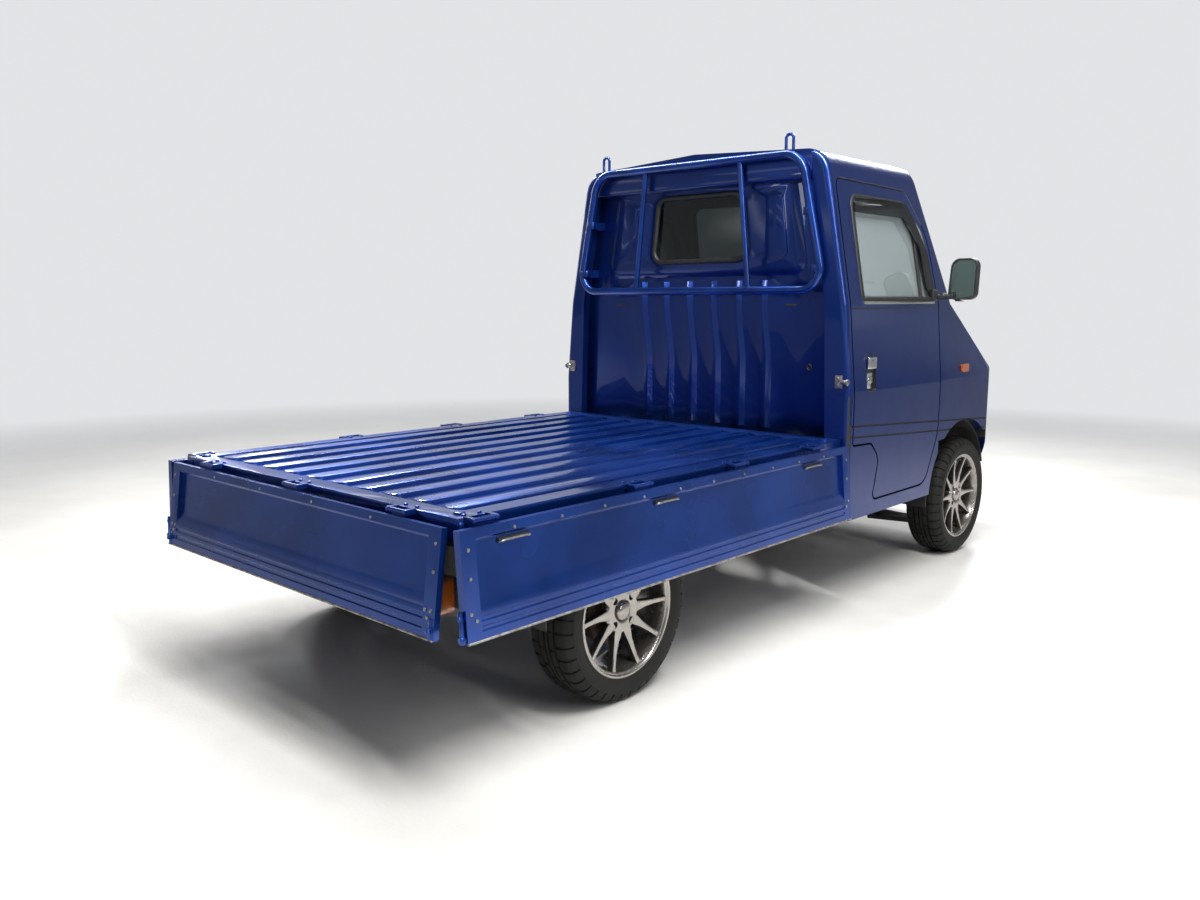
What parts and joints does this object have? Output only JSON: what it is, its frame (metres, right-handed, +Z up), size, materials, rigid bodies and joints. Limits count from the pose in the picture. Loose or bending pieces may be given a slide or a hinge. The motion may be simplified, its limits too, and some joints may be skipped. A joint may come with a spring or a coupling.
{
  "type": "kei truck",
  "caption": "Small cab-over drop-side truck, sides and tailgate let down, with steered front wheels, opening doors and a hinged front lid.",
  "frame": {"origin": "on the ground plane, under the middle of the truck's bounding box", "axes": "+Z up, -Y towards the nose, -X towards the driver's (right-hand) side"},
  "size_m": [1.7514, 3.4359, 1.7809],
  "materials": {
    "body_paint": "metallic gloss",
    "bed_paint": "metallic gloss, worn",
    "chassis_black": "satin",
    "guard_paint": "gloss",
    "glass": "clear",
    "lamp_clear": "clear",
    "lamp_red": "gloss",
    "lamp_amber": "gloss",
    "tyre": "matte",
    "alloy": "satin",
    "mirror_shell": "gloss",
    "dark_plastic": "grained",
    "seat_cloth": "woven",
    "cast_metal": "rough",
    "bare_steel": "dull",
    "rubber": "matte"
  },
  "bodies": {
    "truck": {"roof_panel": "body_paint", "cab_sides": "body_paint", "cab_back_panel": "body_paint", "windscreen_frame": "body_paint", "cab_glass": "glass", "front_bumper": "body_paint", "grille_panel": "body_paint", "headlamps": "lamp_clear", "fenders": "body_paint", "bed_floor": "bed_paint", "guard_frame": "guard_paint", "chassis_frame": "chassis_black", "bed_underframe": "chassis_black", "tail_lamps": "lamp_red", "cab_floor": "chassis_black", "rear_axle": "chassis_black", "front_suspension": "chassis_black", "dashboard": "dark_plastic", "seats": "seat_cloth", "engine_block": "cast_metal", "driveline": "cast_metal", "fuel_tank": "chassis_black", "exhaust": "bare_steel", "mudflaps": "rubber", "marker_lamps": "lamp_amber"},
    "bonnet_lid": {"bonnet": "body_paint"},
    "left_door": {"door_left": "body_paint", "door_glass_left": "glass", "mirror_left": "mirror_shell"},
    "right_door": {"door_right": "body_paint", "door_glass_right": "glass", "mirror_right": "mirror_shell"},
    "left_gate": {"side_gate_left": "bed_paint"},
    "right_gate": {"side_gate_right": "bed_paint"},
    "tail_gate": {"tailgate": "bed_paint"},
    "left_knuckle": {"knuckle_left": "cast_metal"},
    "right_knuckle": {"knuckle_right": "cast_metal"},
    "rack": {"tie_rod": "bare_steel"},
    "hand_wheel": {"steering_wheel": "dark_plastic"},
    "front_left_wheel": {"tyre_front_left": "tyre", "wheel_front_left": "alloy"},
    "front_right_wheel": {"tyre_front_right": "tyre", "wheel_front_right": "alloy"},
    "rear_left_wheel": {"tyre_rear_left": "tyre", "wheel_rear_left": "alloy"},
    "rear_right_wheel": {"tyre_rear_right": "tyre", "wheel_rear_right": "alloy"}
  },
  "joints": [
    {"name": "steer_right", "type": "hinge", "parent": "truck", "child": "right_knuckle", "pos_m": [-0.6, -1.332, 0.157], "axis": [0.2107, 0, 0.9775], "range_deg": [-32, 32]},
    {"name": "steer_left", "type": "hinge", "parent": "truck", "child": "left_knuckle", "pos_m": [0.6, -1.332, 0.157], "axis": [-0.2107, 0, 0.9775], "range_deg": [-32.5, 32.5]},
    {"name": "rack_slide", "type": "slide", "parent": "truck", "child": "rack", "axis": [1, 0, 0], "range_m": [-0.066, 0.066]},
    {"name": "hand_wheel_turn", "type": "hinge", "parent": "truck", "child": "hand_wheel", "pos_m": [-0.335, -0.79, 0.985], "axis": [0, -0.5, -0.866], "range_deg": [-485, 485]},
    {"name": "spin_front_left", "type": "hinge", "parent": "left_knuckle", "child": "front_left_wheel", "pos_m": [0.644, -1.332, 0.267], "axis": [1, 0, 0], "continuous": true},
    {"name": "spin_front_right", "type": "hinge", "parent": "right_knuckle", "child": "front_right_wheel", "pos_m": [-0.644, -1.332, 0.267], "axis": [1, 0, 0], "continuous": true},
    {"name": "spin_rear_left", "type": "hinge", "parent": "truck", "child": "rear_left_wheel", "pos_m": [0.644, 1.018, 0.267], "axis": [1, 0, 0], "continuous": true},
    {"name": "spin_rear_right", "type": "hinge", "parent": "truck", "child": "rear_right_wheel", "pos_m": [-0.644, 1.018, 0.267], "axis": [1, 0, 0], "continuous": true},
    {"name": "door_left_open", "type": "hinge", "parent": "truck", "child": "left_door", "pos_m": [0.737, -1.003, 0.811], "axis": [0.0523, 0, -0.9986], "range_deg": [0, 60]},
    {"name": "door_right_open", "type": "hinge", "parent": "truck", "child": "right_door", "pos_m": [-0.737, -1.003, 0.811], "axis": [0.0523, 0, 0.9986], "range_deg": [0, 60]},
    {"name": "bonnet_open", "type": "hinge", "parent": "truck", "child": "bonnet_lid", "pos_m": [0, -1.298, 1.08193], "axis": [-1, 0, 0], "range_deg": [0, 60]},
    {"name": "gate_left_close", "type": "hinge", "parent": "truck", "child": "left_gate", "pos_m": [0.739, 0.758, 0.64], "axis": [0, -1, 0], "range_deg": [0, 175]},
    {"name": "gate_right_close", "type": "hinge", "parent": "truck", "child": "right_gate", "pos_m": [-0.739, 0.758, 0.64], "axis": [0, 1, 0], "range_deg": [0, 175]},
    {"name": "tailgate_close", "type": "hinge", "parent": "truck", "child": "tail_gate", "pos_m": [0, 1.663, 0.64], "axis": [1, 0, 0], "range_deg": [0, 172.5]}
  ],
  "couplings": [
    {"joint": "steer_left", "follows": "steer_right", "ratio": 1},
    {"joint": "rack_slide", "follows": "steer_right", "m_per_rad": -0.112},
    {"joint": "hand_wheel_turn", "follows": "steer_right", "ratio": -15}
  ]
}
